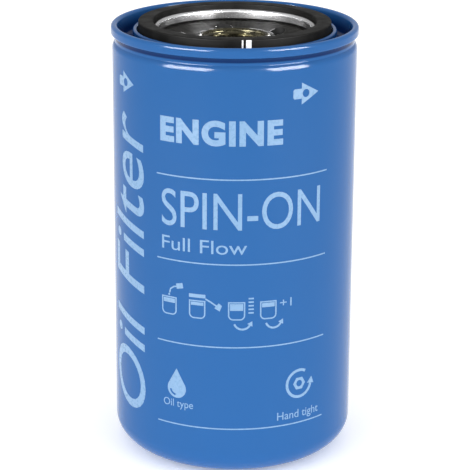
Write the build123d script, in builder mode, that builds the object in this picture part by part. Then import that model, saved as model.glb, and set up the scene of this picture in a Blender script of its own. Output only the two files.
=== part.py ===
"""Spin-on full-flow oil filter.

It stands on the closed end of its can, with the threaded end up. The axis is +Z, the origin is
the middle of the closed end's foot, and the units are millimetres. Heights are measured from the foot.
"""

import os
from math import atan2, cos, degrees, pi, radians, sin

from build123d import *

# Driving dimensions.
TOTAL_HEIGHT = 169.1  # foot to the top of the gasket
GASKET_PROUD = 1.1  # how far the gasket stands above the seam
BODY_RADIUS = 46.3
SEAM_RADIUS = 46.8
SHEET = 0.5  # steel sheet of the can, the lid and the end caps
THREAD_RADIUS = 12.7  # 1 inch thread, at its major radius
GASKET_OUTER_RADIUS = 36.4
GASKET_INNER_RADIUS = 31.0
GASKET_HEIGHT = 5.6
PLATE_THICKNESS = 3.6
PORT_COUNT = 6
PORT_RADIUS = 3.2
PORT_CIRCLE_RADIUS = 21.6
PORT_START_ANGLE = 41.0
PLEAT_COUNT = 56

FIT = 0.15  # clearance beside a sliding piece
TOUCH = 0.02  # clearance between fixed pieces that are pressed together
SEAT_GAP = 0.05  # clearance between a closed valve and its seat
HALF = SHEET / 2
SEAM_TOP = TOTAL_HEIGHT - GASKET_PROUD

os.makedirs("parts", exist_ok=True)


def keep(part, name):
    """Labels a finished piece, writes its file and prints what it is."""
    part.label = name
    export_step(part, f"parts/{name}.step")
    print(f"{name:22s} {len(part.solids()):3d} solids {part.volume:10.1f} mm3")


def pressed_sheet(points, bends, thickness=SHEET):
    """The cross-section of a pressed sheet, from its centreline in (radius, height)."""
    with BuildSketch(Plane.XZ) as section:
        with BuildLine():
            FilletPolyline(*points, radius=bends)
        trace(line_width=thickness)
    return section.sketch


def solid_section(*points):
    """A straight-sided cross-section in (radius, height)."""
    with BuildSketch(Plane.XZ) as section:
        with BuildLine():
            Polyline(*points, close=True)
        make_face()
    return section.sketch


def ring_section(inner, outer, low, high):
    """A rectangular cross-section between two radii and two heights."""
    return solid_section((inner, low), (outer, low), (outer, high), (inner, high))


# ---------------------------------------------------------------------------
# Double seam: five layers of sheet, counted from the outside of the seam in.
# ---------------------------------------------------------------------------
SEAM_HEIGHT = 3.7
LAYER = SHEET + TOUCH
HOOK_GAP = 1.0  # room above the lid's hook
COVER_WALL, BODY_HOOK, COVER_HOOK, CAN_NECK, CHUCK_WALL = (
    SEAM_RADIUS - HALF - i * LAYER for i in range(5)
)
seam_foot = SEAM_TOP - SEAM_HEIGHT
cover_top = SEAM_TOP - HALF
can_top = cover_top - LAYER
cover_hook_top = can_top - HOOK_GAP

# ---------------------------------------------------------------------------
# Can: drawn steel, with a broad rounded corner round the closed end, a pressed
# panel in the middle of it, a shoulder, and the hook that the lid is seamed to.
# ---------------------------------------------------------------------------
CORNER_RUN = 15.6
CORNER_RISE = 11.7
PANEL_RADIUS = 20.0
PANEL_RISE = 1.6
PANEL_SLOPE = 2.2
NECK_LENGTH = 2.0
SHOULDER_RISE = 2.2
SHOULDER_RADIUS = 5.5

neck_foot = seam_foot - NECK_LENGTH
corner_start = BODY_RADIUS - CORNER_RUN
with BuildPart() as housing_can:
    with BuildSketch(Plane.XZ):
        with BuildLine():
            Polyline(
                (0, HALF + PANEL_RISE),
                (PANEL_RADIUS - PANEL_SLOPE, HALF + PANEL_RISE),
                (PANEL_RADIUS, HALF),
                (corner_start, HALF),
            )
            EllipticalCenterArc(
                (corner_start, CORNER_RISE),
                CORNER_RUN - HALF,
                CORNER_RISE - HALF,
                start_angle=-90,
                arc_size=90,
            )
            FilletPolyline(
                (BODY_RADIUS - HALF, CORNER_RISE),
                (BODY_RADIUS - HALF, neck_foot - SHOULDER_RISE),
                (CAN_NECK, neck_foot),
                (CAN_NECK, can_top),
                (BODY_HOOK, can_top),
                (BODY_HOOK, seam_foot + LAYER + HALF),
                radius=[SHOULDER_RADIUS, 2.0, 0.5, 0.5],
            )
        trace(line_width=SHEET)
    revolve(axis=Axis.Z)
keep(housing_can.part, "housing_can")

# ---------------------------------------------------------------------------
# Lid: seamed to the can. It dips into a trough inside the seam, rises round the
# gasket, holds the gasket in a channel and ends in a rolled lip.
# ---------------------------------------------------------------------------
TROUGH_HEIGHT = 159.3
HOLDER_TOP = 165.95
HOLDER_RADIUS = 38.3
CHANNEL_GAP = 0.4  # outside the gasket
CHANNEL_PLAY = 0.05  # inside the gasket
LIP_RADIUS = 28.9
LIP_TOP = 167.0
LIP_FOOT = 164.0

gasket_foot = TOTAL_HEIGHT - GASKET_HEIGHT
channel_floor = gasket_foot - HALF
channel_outer = GASKET_OUTER_RADIUS + CHANNEL_GAP + HALF
channel_inner = GASKET_INNER_RADIUS - HALF - CHANNEL_PLAY
with BuildPart() as seaming_lid:
    lid_sheet = pressed_sheet(
        [
            (COVER_HOOK, cover_hook_top),
            (COVER_HOOK, seam_foot + HALF),
            (COVER_WALL, seam_foot + HALF),
            (COVER_WALL, cover_top),
            (CHUCK_WALL, cover_top),
            (CHUCK_WALL, TROUGH_HEIGHT),
            (HOLDER_RADIUS, TROUGH_HEIGHT),
            (HOLDER_RADIUS, HOLDER_TOP),
            (channel_outer, HOLDER_TOP),
            (channel_outer, channel_floor),
            (channel_inner, channel_floor),
            (channel_inner, LIP_TOP),
            (LIP_RADIUS, LIP_TOP),
            (LIP_RADIUS, LIP_FOOT),
        ],
        [0.5, 0.5, 1.0, 1.0, 2.6, 2.2, 0.55, 0.55, 0.3, 0.3, 0.8, 0.8],
    )
    revolve(lid_sheet, axis=Axis.Z)
keep(seaming_lid.part, "seaming_lid")

# Sealing compound above the lid's hook, inside the seam.
with BuildPart() as seam_sealant:
    sealant_inner = CAN_NECK + HALF + TOUCH
    sealant_outer = BODY_HOOK - HALF - TOUCH
    sealant_low = cover_hook_top + TOUCH
    revolve(
        ring_section(sealant_inner, sealant_outer, sealant_low, can_top - SHEET),
        axis=Axis.Z,
    )
keep(seam_sealant.part, "seam_sealant")

# ---------------------------------------------------------------------------
# Thread plate: thick steel, flat under the lid, dished towards the threaded hub.
# The hub stands up into the well and reaches down into the element.
# ---------------------------------------------------------------------------
PLATE_RADIUS = 37.9
DISH_OUTER_RADIUS = 26.6
DISH_INNER_RADIUS = 16.6
DISH_DEPTH = 2.7
HUB_TOP = 163.2
HUB_FOOT = 150.6
HUB_RADIUS = 15.2
KNEE_DROP = 0.3  # the plate is that much thicker beside the hub
DISH_SHIFT = 1.0  # the dish is that much narrower underneath

plate_top = channel_floor - HALF
plate_foot = plate_top - PLATE_THICKNESS
dish_top = plate_top - DISH_DEPTH
with BuildPart() as thread_plate:
    with BuildSketch(Plane.XZ):
        with BuildLine():
            FilletPolyline(
                (THREAD_RADIUS, HUB_FOOT),
                (HUB_RADIUS, HUB_FOOT),
                (HUB_RADIUS, dish_top - PLATE_THICKNESS - KNEE_DROP),
                (DISH_OUTER_RADIUS - DISH_SHIFT, plate_foot),
                (PLATE_RADIUS, plate_foot),
                (PLATE_RADIUS, plate_top),
                (DISH_OUTER_RADIUS, plate_top),
                (DISH_INNER_RADIUS, dish_top),
                (HUB_RADIUS, HUB_TOP),
                (THREAD_RADIUS, HUB_TOP),
                radius=[0.2, 0.3, 0.4, 3.0, 0.4, 0.4, 5.0, 1.2, 0.8, 0.15],
                close=True,
            )
        make_face()
    revolve(axis=Axis.Z)
    with Locations((0, 0, plate_top)):
        with PolarLocations(PORT_CIRCLE_RADIUS, PORT_COUNT, PORT_START_ANGLE):
            Hole(PORT_RADIUS)
keep(thread_plate.part, "thread_plate")

# ---------------------------------------------------------------------------
# Gasket: square-cut rubber, and the three slotted tabs that hold it in its channel.
# ---------------------------------------------------------------------------
TAB_COUNT = 3
TAB_START_ANGLE = -83.25
TAB_WIDTH = 3.5
TAB_THICKNESS = 0.25
TAB_SLOT_WIDTH = 1.0
TAB_SLOT_OFFSET = -0.7
TAB_BASE = 1.6
TAB_GAP = 0.09  # between the gasket and a tab
TAB_MARGIN = 0.1  # above a tab, and below it

with BuildPart() as mounting_gasket:
    revolve(
        ring_section(GASKET_INNER_RADIUS, GASKET_OUTER_RADIUS, gasket_foot, TOTAL_HEIGHT),
        axis=Axis.Z,
    )
    fillet(edges().group_by(Axis.Z)[-1], radius=0.35)
keep(mounting_gasket.part, "mounting_gasket")

with BuildPart() as gasket_tabs:
    tab_radius = GASKET_OUTER_RADIUS + TAB_GAP
    tab_foot = gasket_foot + TAB_MARGIN
    tab_top = TOTAL_HEIGHT - TAB_MARGIN
    slot_foot = tab_foot + TAB_BASE
    for i in range(TAB_COUNT):
        angle = radians(TAB_START_ANGLE + i * 360 / TAB_COUNT)
        outward = Vector(cos(angle), sin(angle), 0)
        along = Vector(-sin(angle), cos(angle), 0)
        with BuildSketch(Plane(outward * tab_radius, x_dir=along, z_dir=outward)):
            with Locations((0, (tab_foot + tab_top) / 2)):
                Rectangle(TAB_WIDTH, tab_top - tab_foot)
            with Locations((TAB_SLOT_OFFSET, (slot_foot + tab_top) / 2)):
                Rectangle(TAB_SLOT_WIDTH, tab_top - slot_foot, mode=Mode.SUBTRACT)
        extrude(amount=TAB_THICKNESS)
keep(gasket_tabs.part, "gasket_tabs")

# ---------------------------------------------------------------------------
# Anti-drainback diaphragm: a rubber collar round the hub, and the conical lip
# that covers the ports from below. The lip moves, so it is a piece of its own.
# ---------------------------------------------------------------------------
COLLAR_RADIUS = 18.0
COLLAR_FOOT = 153.6
COLLAR_TOP = 155.9
FLAP_RADIUS = 31.6
FLAP_THICKNESS = 1.2
FLAP_LIP_THICKNESS = 1.08
FLAP_ROOT_RISE = 0.2  # above the collar
FLAP_LIP_WIDTH = 3.1
FLAP_LAND = 0.6  # width of the lip's sealing edge
KNEE_GAP = 0.8  # below the plate, where the cone turns into the lip

with BuildPart() as antidrainback_collar:
    revolve(
        ring_section(HUB_RADIUS + TOUCH, COLLAR_RADIUS, COLLAR_FOOT, COLLAR_TOP),
        axis=Axis.Z,
    )
    fillet(edges().group_by(Axis.Z)[0].sort_by(SortBy.RADIUS)[-1], radius=0.5)
keep(antidrainback_collar.part, "antidrainback_collar")

with BuildPart() as antidrainback_flap:
    flap_start = COLLAR_RADIUS + FIT
    flap_knee = FLAP_RADIUS - FLAP_LIP_WIDTH
    flap_root = COLLAR_TOP + FLAP_ROOT_RISE
    knee_top = plate_foot - KNEE_GAP
    lip_top = plate_foot - SEAT_GAP
    revolve(
        solid_section(
            (flap_start, flap_root - FLAP_THICKNESS),
            (flap_knee, knee_top - FLAP_THICKNESS),
            (FLAP_RADIUS, lip_top - FLAP_LIP_THICKNESS),
            (FLAP_RADIUS, lip_top),
            (FLAP_RADIUS - FLAP_LAND, lip_top),
            (flap_knee, knee_top),
            (flap_start, flap_root),
        ),
        axis=Axis.Z,
    )
keep(antidrainback_flap.part, "antidrainback_flap")

# ---------------------------------------------------------------------------
# Element: pleated medium round a perforated tube, potted into two end caps.
# ---------------------------------------------------------------------------
CAP_RADIUS = 42.6
CAP_RIM = 5.1
UPPER_CAP_HEIGHT = 149.7
LOWER_CAP_HEIGHT = 20.6
POTTING = 1.1
TUBE_RADIUS = 17.0
MEDIA_OUTER_RADIUS = 41.6
MEDIA_INNER_RADIUS = 17.7
MEDIA_THICKNESS = 0.7
CAP_NECK_RADIUS = 17.75
CAP_NECK_TOP = 152.3
PRESS_GAP = 0.05  # between pieces that are pushed into each other
SEAL_DEPTH = 0.6  # from the cap's middle plane up to the seal's foot
SEAL_FLANGE = 1.75
POTTING_BEVEL = 0.7

with BuildPart() as inner_seal:
    seal_bore = HUB_RADIUS + FIT
    seal_body = CAP_NECK_RADIUS - HALF - PRESS_GAP
    seal_foot = UPPER_CAP_HEIGHT + SEAL_DEPTH
    flange_foot = CAP_NECK_TOP + FIT
    flange_top = COLLAR_FOOT - FIT
    revolve(
        solid_section(
            (seal_bore, seal_foot),
            (seal_body, seal_foot),
            (seal_body, flange_foot),
            (seal_body + SEAL_FLANGE, flange_foot),
            (seal_body + SEAL_FLANGE, flange_top),
            (seal_bore, flange_top),
        ),
        axis=Axis.Z,
    )
keep(inner_seal.part, "inner_seal")

with BuildPart() as upper_end_cap:
    upper_sheet = pressed_sheet(
        [
            (CAP_NECK_RADIUS, CAP_NECK_TOP),
            (CAP_NECK_RADIUS, UPPER_CAP_HEIGHT),
            (CAP_RADIUS, UPPER_CAP_HEIGHT),
            (CAP_RADIUS, UPPER_CAP_HEIGHT - CAP_RIM),
        ],
        [0.8, 1.0],
    )
    revolve(upper_sheet, axis=Axis.Z)
keep(upper_end_cap.part, "upper_end_cap")

SEAT_RADIUS = 7.8  # the bypass opening
SEAT_CUP_RADIUS = 13.8
SEAT_HEIGHT = 17.6
with BuildPart() as lower_end_cap:
    lower_sheet = pressed_sheet(
        [
            (SEAT_RADIUS, SEAT_HEIGHT),
            (SEAT_CUP_RADIUS, SEAT_HEIGHT),
            (SEAT_CUP_RADIUS, LOWER_CAP_HEIGHT),
            (CAP_RADIUS, LOWER_CAP_HEIGHT),
            (CAP_RADIUS, LOWER_CAP_HEIGHT + CAP_RIM),
        ],
        [0.7, 0.7, 1.0],
    )
    revolve(lower_sheet, axis=Axis.Z)
keep(lower_end_cap.part, "lower_end_cap")

potting_inner = TUBE_RADIUS + PRESS_GAP
potting_outer = CAP_RADIUS - HALF - PRESS_GAP
upper_potting_top = UPPER_CAP_HEIGHT - HALF - TOUCH
lower_potting_foot = LOWER_CAP_HEIGHT + HALF + TOUCH
media_top = upper_potting_top - POTTING
media_foot = lower_potting_foot + POTTING
for name, cap_side, media_side in (
    ("upper_potting", upper_potting_top, media_top),
    ("lower_potting", lower_potting_foot, media_foot),
):
    with BuildPart() as potting:
        revolve(
            solid_section(
                (potting_inner, cap_side),
                (potting_outer - POTTING_BEVEL, cap_side),
                (potting_outer, media_side),
                (potting_inner, media_side),
            ),
            axis=Axis.Z,
        )
    keep(potting.part, name)

TUBE_HOLE_RADIUS = 2.0
TUBE_HOLE_ROWS = 13
TUBE_HOLES_ROUND = 10
with BuildPart() as centre_tube:
    tube_foot = lower_potting_foot
    revolve(
        ring_section(TUBE_RADIUS - SHEET, TUBE_RADIUS, tube_foot, upper_potting_top),
        axis=Axis.Z,
    )
    row_pitch = (media_top - media_foot) / TUBE_HOLE_ROWS
    for row in range(TUBE_HOLE_ROWS):
        height = media_foot + (row + 0.5) * row_pitch
        turn = (row % 2) * 180 / TUBE_HOLES_ROUND
        for i in range(TUBE_HOLES_ROUND // 2):
            angle = radians(turn + i * 360 / TUBE_HOLES_ROUND)
            across = Vector(cos(angle), sin(angle), 0)
            with BuildSketch(Plane((0, 0, height), x_dir=(0, 0, 1), z_dir=across)):
                Circle(TUBE_HOLE_RADIUS)
            extrude(amount=2 * TUBE_RADIUS, both=True, mode=Mode.SUBTRACT)
keep(centre_tube.part, "centre_tube")


def pleat_outline(outer, inner, outer_half, inner_half):
    """Corners of a star of flat-tipped pleats; the half widths are along the circles."""
    corners = []
    for i in range(PLEAT_COUNT):
        tip = 2 * pi * i / PLEAT_COUNT
        valley = tip + pi / PLEAT_COUNT
        for radius, middle, half in ((outer, tip, outer_half), (inner, valley, inner_half)):
            for side in (-1, 1):
                turn = middle + side * half / radius
                corners.append((radius * cos(turn), radius * sin(turn)))
    return corners


PLEAT_TIP = 0.95  # half width of a pleat's outer fold
PLEAT_VALLEY = 0.8  # half width of an inner fold, on the inside
PLEAT_VALLEY_SLOT = 0.12  # and on the outside
with BuildPart() as pleated_media:
    with BuildSketch(Plane.XY.offset(media_foot)):
        with BuildLine():
            Polyline(
                *pleat_outline(
                    MEDIA_OUTER_RADIUS,
                    MEDIA_INNER_RADIUS + MEDIA_THICKNESS,
                    PLEAT_TIP,
                    PLEAT_VALLEY_SLOT,
                ),
                close=True,
            )
        make_face()
        with BuildLine():
            Polyline(
                *pleat_outline(
                    MEDIA_OUTER_RADIUS - MEDIA_THICKNESS,
                    MEDIA_INNER_RADIUS,
                    PLEAT_TIP - MEDIA_THICKNESS,
                    PLEAT_VALLEY,
                ),
                close=True,
            )
        make_face(mode=Mode.SUBTRACT)
    extrude(amount=media_top - media_foot)
keep(pleated_media.part, "pleated_media")

# The folded steel strip that closes the medium's seam, over one pleat's tip.
CLIP_WIDTH = 3.0
CLIP_THICKNESS = 0.4
CLIP_MARGIN = 1.0  # from each end cap's rim
with BuildPart() as media_clip:
    clip_foot = LOWER_CAP_HEIGHT + CAP_RIM + CLIP_MARGIN
    clip_top = UPPER_CAP_HEIGHT - CAP_RIM - CLIP_MARGIN
    with BuildSketch(Plane.XY.offset(clip_foot)):
        with Locations((MEDIA_OUTER_RADIUS + TOUCH + CLIP_THICKNESS / 2, 0)):
            Rectangle(CLIP_THICKNESS, CLIP_WIDTH)
    extrude(amount=clip_top - clip_foot)
keep(media_clip.part, "media_clip")

# ---------------------------------------------------------------------------
# Bypass valve in the lower end cap: it lifts into the tube when the medium clogs.
# ---------------------------------------------------------------------------
DISC_RADIUS = 10.0
DISC_THICKNESS = 1.2
POPPET_RADIUS = 10.3
POPPET_THICKNESS = 0.8
STEM_RADIUS = 2.8
STEM_TOP = 38.6
CAGE_RADIUS = 11.6
CAGE_TOP = 36.2
CAGE_FLANGE_RADIUS = 16.2
CAGE_BORE = 3.2  # radius, round the poppet's stem
CAGE_WINDOWS = 4
CAGE_WINDOW_WIDTH = 9.0
CAGE_WINDOW_HEIGHT = 8.5
BYPASS_WIRE = 1.1
BYPASS_COIL_RADIUS = 7.4
BYPASS_TURNS = 6
COIL_GAP = 0.05

disc_foot = SEAT_HEIGHT + HALF + SEAT_GAP
poppet_foot = disc_foot + DISC_THICKNESS + TOUCH
poppet_top = poppet_foot + POPPET_THICKNESS
with BuildPart() as bypass_disc:
    revolve(ring_section(0, DISC_RADIUS, disc_foot, disc_foot + DISC_THICKNESS), axis=Axis.Z)
    fillet(edges().group_by(Axis.Z)[-1], radius=0.3)
keep(bypass_disc.part, "bypass_disc")

with BuildPart() as bypass_poppet:
    revolve(
        solid_section(
            (0, poppet_foot),
            (POPPET_RADIUS, poppet_foot),
            (POPPET_RADIUS, poppet_top),
            (STEM_RADIUS, poppet_top),
            (STEM_RADIUS, STEM_TOP),
            (0, STEM_TOP),
        ),
        axis=Axis.Z,
    )
    fillet(edges().group_by(Axis.Z)[-1], radius=0.6)
keep(bypass_poppet.part, "bypass_poppet")

with BuildPart() as bypass_cage:
    cage_foot = LOWER_CAP_HEIGHT + SHEET + TOUCH
    cage_sheet = pressed_sheet(
        [
            (CAGE_BORE, CAGE_TOP),
            (CAGE_RADIUS, CAGE_TOP),
            (CAGE_RADIUS, cage_foot),
            (CAGE_FLANGE_RADIUS, cage_foot),
        ],
        [1.4, 0.7],
    )
    revolve(cage_sheet, axis=Axis.Z)
    window_middle = (CAGE_TOP + LOWER_CAP_HEIGHT) / 2
    with PolarLocations(CAGE_RADIUS, CAGE_WINDOWS, 45):
        with Locations((0, 0, window_middle)):
            Box(8 * SHEET, CAGE_WINDOW_WIDTH, CAGE_WINDOW_HEIGHT, mode=Mode.SUBTRACT)
keep(bypass_cage.part, "bypass_cage")


def coil(foot, top, foot_radius, top_radius, turns, wire):
    """A helical spring of round wire, straight or conical, between two heights."""
    height = top - foot - wire - 2 * COIL_GAP
    lean = degrees(atan2(top_radius - foot_radius, height))
    start = (0, 0, foot + wire / 2 + COIL_GAP)
    with BuildPart() as spring:
        with BuildLine() as path:
            Helix(height / turns, height, foot_radius, center=start, cone_angle=lean)
        with BuildSketch(Plane(path.line @ 0, z_dir=path.line % 0)):
            Circle(wire / 2)
        sweep(is_frenet=True)
    return spring.part


bypass_spring = coil(
    poppet_top,
    CAGE_TOP - HALF,
    BYPASS_COIL_RADIUS,
    BYPASS_COIL_RADIUS,
    BYPASS_TURNS,
    BYPASS_WIRE,
)
keep(bypass_spring, "bypass_spring")

# ---------------------------------------------------------------------------
# Load spring: stands round the can's pressed panel and holds the element up.
# ---------------------------------------------------------------------------
LOAD_WIRE = 2.4
LOAD_FOOT_RADIUS = 24.6
LOAD_TOP_RADIUS = 18.6
LOAD_TURNS = 3.5
load_spring = coil(
    SHEET,
    LOWER_CAP_HEIGHT - HALF,
    LOAD_FOOT_RADIUS,
    LOAD_TOP_RADIUS,
    LOAD_TURNS,
    LOAD_WIRE,
)
keep(load_spring, "load_spring")
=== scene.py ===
"""Looks of the spin-on oil filter: turned and pressed shells, the thread, the print and the materials.

Lengths inside the shape functions are millimetres, as in the CAD model, and meshes are scaled to
metres when they are made. Azimuths of the print and the lamps are degrees round +Z from the printed
front, which faces -Y. The ports' and the tabs' angles start at +X.
"""

from math import atan2, ceil, cos, floor, hypot, pi, radians, sin, tan

import bmesh
import bpy
from mathutils import Matrix, Vector


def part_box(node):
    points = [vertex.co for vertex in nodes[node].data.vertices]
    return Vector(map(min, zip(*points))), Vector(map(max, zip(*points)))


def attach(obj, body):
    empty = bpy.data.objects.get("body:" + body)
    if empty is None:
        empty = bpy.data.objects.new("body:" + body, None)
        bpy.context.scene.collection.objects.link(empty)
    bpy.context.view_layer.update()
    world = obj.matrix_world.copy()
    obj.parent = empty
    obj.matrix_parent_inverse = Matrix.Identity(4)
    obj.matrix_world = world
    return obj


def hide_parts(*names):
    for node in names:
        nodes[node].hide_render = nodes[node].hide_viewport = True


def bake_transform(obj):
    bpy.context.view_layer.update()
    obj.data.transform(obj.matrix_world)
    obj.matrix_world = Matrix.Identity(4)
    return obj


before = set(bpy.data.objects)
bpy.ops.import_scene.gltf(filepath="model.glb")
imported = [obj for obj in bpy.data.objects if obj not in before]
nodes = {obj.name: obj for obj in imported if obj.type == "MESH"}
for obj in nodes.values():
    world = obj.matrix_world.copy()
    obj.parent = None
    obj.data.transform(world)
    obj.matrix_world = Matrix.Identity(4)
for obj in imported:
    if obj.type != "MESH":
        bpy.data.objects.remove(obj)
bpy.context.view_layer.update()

MM = 0.001
CAN = "can_assembly"


def low(node):
    """A node's lowest height, in millimetres."""
    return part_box(node)[0].z / MM


def high(node):
    """A node's highest height, in millimetres."""
    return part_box(node)[1].z / MM


def radius_of(node):
    """A round node's outer radius, in millimetres."""
    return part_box(node)[1].x / MM


# Sizes from the frame.
BODY_RADIUS = radius_of("housing_can")
SEAM_RADIUS = radius_of("seaming_lid")
SEAM_TOP = high("seaming_lid")
GASKET_TOP = high("mounting_gasket")
GASKET_FOOT = low("mounting_gasket")
GASKET_RADIUS = radius_of("mounting_gasket")
PLATE_RADIUS = radius_of("thread_plate")
HUB_TOP = high("thread_plate")
HUB_FOOT = low("thread_plate")

# Sizes that the CAD model sets and the frame doesn't state.
SHEET = 0.5
HALF = SHEET / 2
LAYER = SHEET + 0.02
SEAM_HEIGHT = 3.7
THREAD_RADIUS = 12.7
THREAD_PITCH = 25.4 / 16
HUB_RADIUS = 15.2
PLATE_THICKNESS = 3.6
PORT_COUNT = 6
PORT_RADIUS = 3.2
PORT_CIRCLE_RADIUS = 21.6
PORT_START_ANGLE = 41.0
GASKET_INNER_RADIUS = 31.0

# ---------------------------------------------------------------------------
# Camera: a long lens, a little above the filter, aimed at its middle.
# ---------------------------------------------------------------------------
CAMERA_DISTANCE = 0.7687
CAMERA_PITCH = radians(17.764)
CAMERA_ROLL = radians(0.343)
CAMERA_AIM_HEIGHT = 0.08385
CAMERA_LENS = 150.93
CAMERA_SHIFT = 0.003
SENSOR_WIDTH = 36.0
CLIP_START = 0.01


def add_camera():
    camera = bpy.data.objects.new("camera", bpy.data.cameras.new("camera"))
    bpy.context.scene.collection.objects.link(camera)
    camera.data.lens = CAMERA_LENS
    camera.data.sensor_width = SENSOR_WIDTH
    camera.data.shift_x = CAMERA_SHIFT
    camera.data.clip_start = CLIP_START
    aim = Vector((0, 0, CAMERA_AIM_HEIGHT))
    back = Vector((0, -cos(CAMERA_PITCH), sin(CAMERA_PITCH)))
    turn = Matrix.Rotation(pi / 2 - CAMERA_PITCH, 4, "X") @ Matrix.Rotation(CAMERA_ROLL, 4, "Z")
    camera.matrix_world = Matrix.Translation(aim + back * CAMERA_DISTANCE) @ turn
    bpy.context.scene.camera = camera


# ---------------------------------------------------------------------------
# Outlines: lists of (radius, height) points.
# ---------------------------------------------------------------------------
TINY = 1e-6
NEARLY_STRAIGHT = 1e-4  # a corner that turns less, in radians, has nothing to round
BEND_STEP = radians(12)  # largest turn between two points of a rounded corner


def arc(centre, radius, start, end, steps):
    """Points on an arc, from the start angle to the end angle in radians."""
    return [
        (
            centre[0] + radius * cos(start + (end - start) * i / steps),
            centre[1] + radius * sin(start + (end - start) * i / steps),
        )
        for i in range(steps + 1)
    ]


def rounded(points, radii, closed=False):
    """The polyline with each corner rounded; an open line keeps its two ends."""
    count = len(points)
    corners = range(count) if closed else range(1, count - 1)
    path = [] if closed else [points[0]]
    for i, radius in zip(corners, radii):
        before, here, after = (Vector(points[(i + k) % count]) for k in (-1, 0, 1))
        arriving = (here - before).normalized()
        leaving = (after - here).normalized()
        turn = arriving.angle_signed(leaving)
        if radius <= 0 or abs(turn) < NEARLY_STRAIGHT:
            path.append(tuple(here))
            continue
        side = -1 if turn > 0 else 1
        reach = radius * tan(abs(turn) / 2)
        start = here - arriving * reach
        normal = Vector((-arriving.y, arriving.x)) * side
        centre = start + normal * radius
        first = atan2(start.y - centre.y, start.x - centre.x)
        steps = max(3, ceil(abs(turn) / BEND_STEP))
        path += arc(centre, radius, first, first + side * abs(turn), steps)
    if not closed:
        path.append(points[-1])
    return path


def thickened(path, thickness):
    """The closed outline of a sheet whose centreline is the path."""
    left, right = [], []
    for i, point in enumerate(path):
        before = Vector(path[max(i - 1, 0)])
        after = Vector(path[min(i + 1, len(path) - 1)])
        along = (after - before).normalized()
        normal = Vector((-along.y, along.x)) * thickness / 2
        left.append(tuple(Vector(point) + normal))
        right.append(tuple(Vector(point) - normal))
    return left + right[::-1]


# ---------------------------------------------------------------------------
# Meshes.
# ---------------------------------------------------------------------------
SMOOTH_ANGLE = radians(32)
ROUND = 288  # segments round a large turned piece
DIAPHRAGM_ROUND = 192


def add_mesh(name, bm, material, body, smooth=True):
    """Turns a bmesh in millimetres into a piece, which rides on a body if one is given."""
    bmesh.ops.scale(bm, vec=(MM, MM, MM), verts=bm.verts)
    bmesh.ops.recalc_face_normals(bm, faces=bm.faces)
    mesh = bpy.data.meshes.new(name)
    bm.to_mesh(mesh)
    bm.free()
    if smooth:
        mesh.shade_smooth()
        mesh.set_sharp_from_angle(angle=SMOOTH_ANGLE)
    mesh.materials.append(material)
    piece = bpy.data.objects.new(name, mesh)
    bpy.context.scene.collection.objects.link(piece)
    if body:
        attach(piece, body)
    return piece


def lathed(outline, segments=ROUND, shape=None):
    """A closed outline turned round the axis. shape(angle, radius, height) may change a radius."""
    bm = bmesh.new()
    rings = []
    for radius, height in outline:
        if radius < TINY:
            rings.append([bm.verts.new((0, 0, height))] * segments)
            continue
        ring = []
        for i in range(segments):
            angle = 2 * pi * i / segments
            here = shape(angle, radius, height) if shape else radius
            ring.append(bm.verts.new((here * cos(angle), here * sin(angle), height)))
        rings.append(ring)
    for one, other in zip(rings, rings[1:] + rings[:1]):
        for i in range(segments):
            k = (i + 1) % segments
            corners = list(dict.fromkeys((one[i], one[k], other[k], other[i])))
            if len(corners) > 2:
                bm.faces.new(corners)
    return bm


def tube(path, wire, sides=20):
    """Round wire along a path, closed at both ends."""
    bm = bmesh.new()
    rings = []
    for i, point in enumerate(path):
        along = (path[min(i + 1, len(path) - 1)] - path[max(i - 1, 0)]).normalized()
        outward = Vector((point.x, point.y, 0)).normalized()
        across = (outward - along * outward.dot(along)).normalized()
        upward = along.cross(across)
        rings.append(
            [
                bm.verts.new(point + (across * cos(a) + upward * sin(a)) * wire / 2)
                for a in (2 * pi * k / sides for k in range(sides))
            ]
        )
    for one, other in zip(rings, rings[1:]):
        for k in range(sides):
            bm.faces.new((one[k], one[(k + 1) % sides], other[(k + 1) % sides], other[k]))
    bm.faces.new(rings[0])
    bm.faces.new(rings[-1][::-1])
    return bm


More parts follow.
